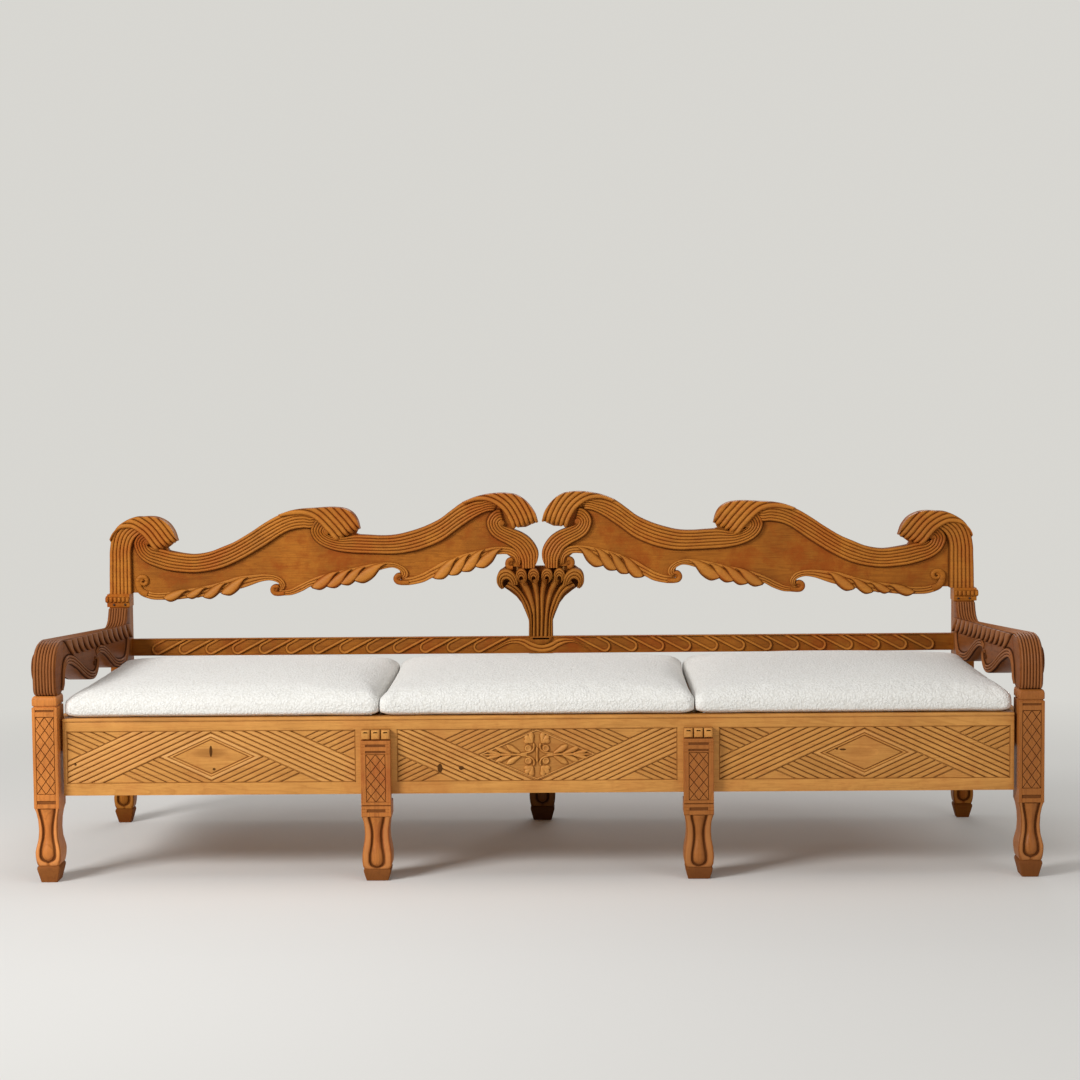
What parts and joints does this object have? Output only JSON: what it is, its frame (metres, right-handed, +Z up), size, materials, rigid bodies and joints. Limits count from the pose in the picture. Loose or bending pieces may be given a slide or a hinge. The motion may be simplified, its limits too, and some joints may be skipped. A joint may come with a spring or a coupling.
{
  "type": "pull-out bench bed",
  "caption": "Carved pine settle with scrolled arms and crested open back; its slatted seat front draws forward on its own legs to make a bed, under loose seat cushions.",
  "frame": {"origin": "on the floor, in the middle of the overall length and depth", "axes": "+X along the bench, towards the right of someone facing it, -Y towards the front where the seat pulls out, +Z up"},
  "size_m": [2.4, 0.8, 0.8882],
  "materials": {
    "honey_pine": "waxed honey-coloured pine",
    "dark_arm_wood": "dark red-brown polished wood",
    "brown_back_wood": "orange-brown waxed wood",
    "pine_plain": "unfinished aged pine",
    "iron_nail": "dark forged iron",
    "boucle_fabric": "off-white looped wool fabric"
  },
  "bodies": {
    "bench_frame": {"front_post_left": "honey_pine", "front_post_right": "honey_pine", "rear_post_left": "brown_back_wood", "rear_post_right": "brown_back_wood", "arm_left": "dark_arm_wood", "arm_right": "dark_arm_wood", "capital_left": "brown_back_wood", "capital_right": "brown_back_wood", "capital_nails": "iron_nail", "crest_left": "brown_back_wood", "crest_right": "brown_back_wood", "papyrus_splat": "brown_back_wood", "back_mid_rail": "brown_back_wood", "rear_seat_rail": "pine_plain", "centre_rear_leg": "brown_back_wood", "rear_slat_ledger": "pine_plain", "side_rail_left": "pine_plain", "side_rail_right": "pine_plain", "front_bearer": "pine_plain", "centre_bearer": "pine_plain", "fixed_slats": "pine_plain", "fixed_slat_nails": "iron_nail", "tenon_pegs": "pine_plain", "arm_dowels": "pine_plain", "crest_dowels": "pine_plain"},
    "pull_out_front": {"front_plank": "honey_pine", "seat_edge_strip": "honey_pine", "mid_leg_left": "honey_pine", "mid_leg_right": "honey_pine", "leg_head_blocks_left": "honey_pine", "leg_head_blocks_right": "honey_pine", "slat_ledger": "pine_plain", "slat_tail_bar": "pine_plain", "pull_out_slats": "pine_plain", "pull_out_slat_nails": "iron_nail"},
    "left_cushion": {"cushion_left": "boucle_fabric"},
    "centre_cushion": {"cushion_centre": "boucle_fabric"},
    "right_cushion": {"cushion_right": "boucle_fabric"}
  },
  "joints": [
    {"name": "pull_out_slide", "type": "slide", "parent": "bench_frame", "child": "pull_out_front", "axis": [0, -1, 0], "range_m": [0, 0.54]},
    {"name": "left_cushion_slide", "type": "slide", "parent": "bench_frame", "child": "left_cushion", "axis": [0, -1, 0], "range_m": [0, 0.54]},
    {"name": "centre_cushion_slide", "type": "slide", "parent": "bench_frame", "child": "centre_cushion", "axis": [0, -1, 0], "range_m": [0, 0.54]},
    {"name": "right_cushion_slide", "type": "slide", "parent": "bench_frame", "child": "right_cushion", "axis": [0, -1, 0], "range_m": [0, 0.54]}
  ]
}
